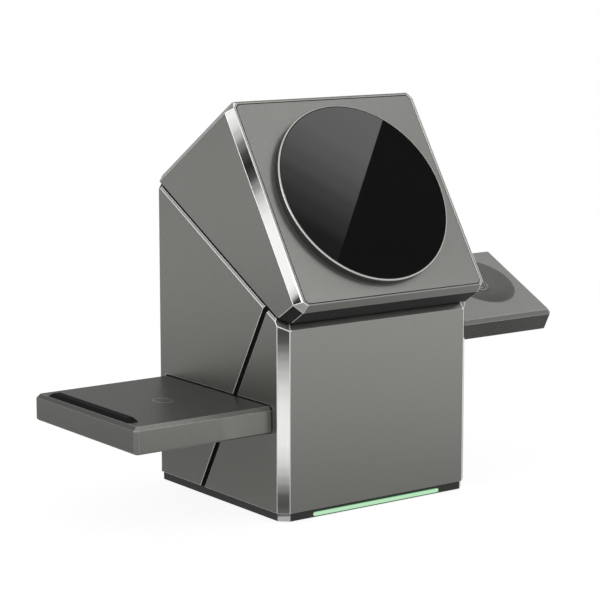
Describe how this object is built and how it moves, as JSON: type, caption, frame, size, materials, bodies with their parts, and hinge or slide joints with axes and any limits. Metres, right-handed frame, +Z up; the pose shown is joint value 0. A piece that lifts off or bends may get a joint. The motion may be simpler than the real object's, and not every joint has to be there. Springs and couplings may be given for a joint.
{
  "type": "three in one wireless charger",
  "caption": "Slant-cut block charger: swivelling head with a round phone puck, a slide-out earbud tray and a tilted slide-out watch tray.",
  "frame": {"origin": "centre of the block's footprint, on the floor under the foot pad", "axes": "+Z up, -Y the front with the light bar, +X towards the watch tray"},
  "size_m": [0.1498, 0.0718, 0.1143],
  "materials": {
    "body_metal": "fine blasted and anodised dark grey",
    "panel_metal": "fine blasted and anodised dark grey",
    "tray_metal": "fine blasted and anodised dark grey",
    "puck_metal": "turned, satin",
    "black_glass": "gloss black",
    "light_diffuser": "pale green, lit from behind",
    "black_inlay": "matt black",
    "base_plastic": "fine texture",
    "tray_plastic": "fine texture",
    "guide_plastic": "as moulded",
    "foot_rubber": "matt",
    "strip_rubber": "matt",
    "steel": "plain",
    "bronze": "plain",
    "board": "solder mask",
    "chips": "matt",
    "copper": "lacquered winding",
    "ferrite": "matt",
    "magnet": "plated",
    "lead_sleeve": "smooth"
  },
  "bodies": {
    "stand": {"body_housing": "body_metal", "groove_inlay_left": "black_inlay", "groove_inlay_right": "black_inlay", "base_cover": "base_plastic", "foot_pad": "foot_rubber", "base_screws": "steel", "light_bar": "light_diffuser", "light_board": "board", "main_board": "board", "main_board_parts": "chips", "main_board_screws": "steel", "usb_c_socket": "steel", "head_lead": "lead_sleeve", "earbud_lead": "lead_sleeve", "watch_lead": "lead_sleeve", "earbud_guide": "guide_plastic", "earbud_guide_screws": "steel", "earbud_contact_block": "guide_plastic", "earbud_contact_pins": "bronze", "watch_guide": "guide_plastic", "watch_guide_screws": "steel", "watch_contact_block": "guide_plastic", "watch_contact_pins": "bronze", "swivel_bush": "bronze"},
    "head": {"head_housing": "body_metal", "head_base_plate": "body_metal", "head_screws": "steel", "swivel_shaft": "steel", "swivel_washer": "steel", "swivel_clip": "steel", "shaft_screws": "steel", "head_board": "board", "head_board_parts": "chips", "head_board_screws": "steel", "front_panel": "panel_metal", "puck_ring": "puck_metal", "glass_disc": "black_glass", "magnet_ring": "magnet", "phone_coil": "copper", "phone_coil_lead": "lead_sleeve", "phone_ferrite": "ferrite", "shield_plate": "steel", "puck_screws": "steel"},
    "earbud_tray": {"earbud_tray_cover": "tray_metal", "earbud_tray_base": "tray_plastic", "earbud_tray_screws": "steel", "earbud_tray_board": "board", "earbud_coil": "copper", "earbud_ferrite": "ferrite", "stop_strip": "strip_rubber"},
    "watch_tray": {"watch_tray_cover": "tray_metal", "watch_tray_base": "tray_plastic", "watch_tray_screws": "steel", "watch_tray_board": "board", "watch_coil": "copper", "watch_magnet": "magnet", "watch_ferrite": "ferrite"}
  },
  "joints": [
    {"name": "head_turn", "type": "hinge", "parent": "stand", "child": "head", "pos_m": [0, 0, 0.07297], "axis": [0, -0.4772, 0.8788], "range_deg": [0, 180]},
    {"name": "earbud_slide", "type": "slide", "parent": "stand", "child": "earbud_tray", "axis": [1, 0, 0], "range_m": [0, 0.0382]},
    {"name": "watch_slide", "type": "slide", "parent": "stand", "child": "watch_tray", "axis": [-1, 0, 0], "range_m": [0, 0.0371]}
  ]
}
